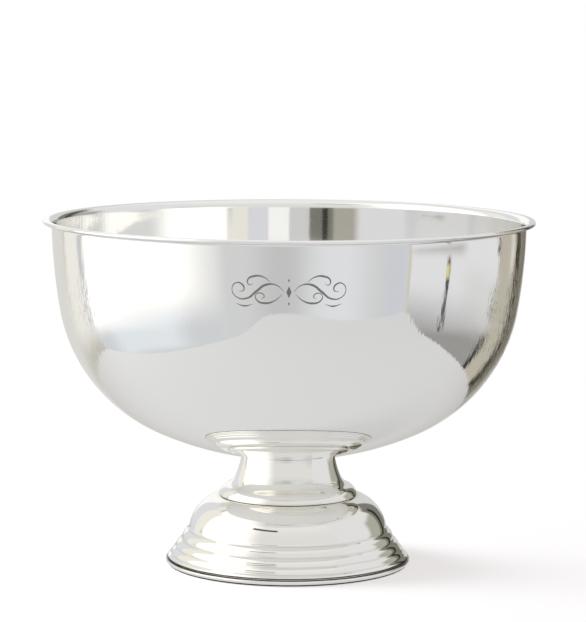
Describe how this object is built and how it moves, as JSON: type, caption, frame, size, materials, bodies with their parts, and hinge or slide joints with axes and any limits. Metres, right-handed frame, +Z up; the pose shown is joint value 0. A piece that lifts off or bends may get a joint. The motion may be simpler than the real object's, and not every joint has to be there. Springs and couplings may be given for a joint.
{
  "type": "footed champagne bucket",
  "caption": "Wide footed silver bowl for chilling champagne, with a curled lip, a trumpet stem and a domed foot with stepped beads.",
  "frame": {"origin": "centre of the base at table level, under the bowl's axis", "axes": "+Z up along the axis that every piece is turned about; +X to the right and -Y to the front, where the engraved side faces"},
  "size_m": [0.406, 0.406, 0.288],
  "materials": {
    "bowl_silver": "silver plate on spun brass, polished, lightly clouded by condensation on the outside",
    "foot_silver": "silver plate on spun brass, mirror polished",
    "bare_brass": "turned brass, brazed in place, unplated",
    "zinc_steel": "zinc-plated steel, satin",
    "black_rubber": "matt black rubber"
  },
  "bodies": {
    "root": {"bowl": "bowl_silver", "stem": "foot_silver", "foot_dome": "foot_silver", "base_ring": "foot_silver", "base_pad": "black_rubber", "boss_plate": "bare_brass", "bridge_plate": "bare_brass", "mount_stud": "zinc_steel", "flat_washer": "zinc_steel", "lock_washer": "zinc_steel", "hex_nut": "zinc_steel"}
  },
  "joints": []
}
